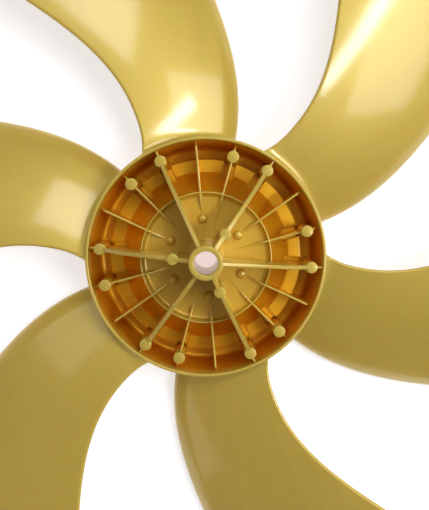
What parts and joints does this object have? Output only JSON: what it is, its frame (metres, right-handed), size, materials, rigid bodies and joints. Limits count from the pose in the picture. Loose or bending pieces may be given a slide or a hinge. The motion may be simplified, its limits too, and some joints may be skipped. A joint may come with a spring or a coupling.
{
  "type": "fan blade",
  "caption": "Axial fan blade moulded in one piece: swept blades around a deep round hub cup, with radial ribs, round posts and a bored boss for a motor shaft.",
  "frame": {"origin": "where the axis of the shaft bore meets the plane of the hub cup's rim", "axes": "+Z along the bore axis towards the motor side, which is the open side of the hub cup; the part lies with its front crown down, and +Y is up in the view of the open cup"},
  "size_m": [0.356, 0.328, 0.0405],
  "materials": {
    "gold_plastic": "metallic gold pigment in gloss moulded plastic"
  },
  "bodies": {
    "root": {"fan_blade": "gold_plastic"}
  },
  "joints": []
}
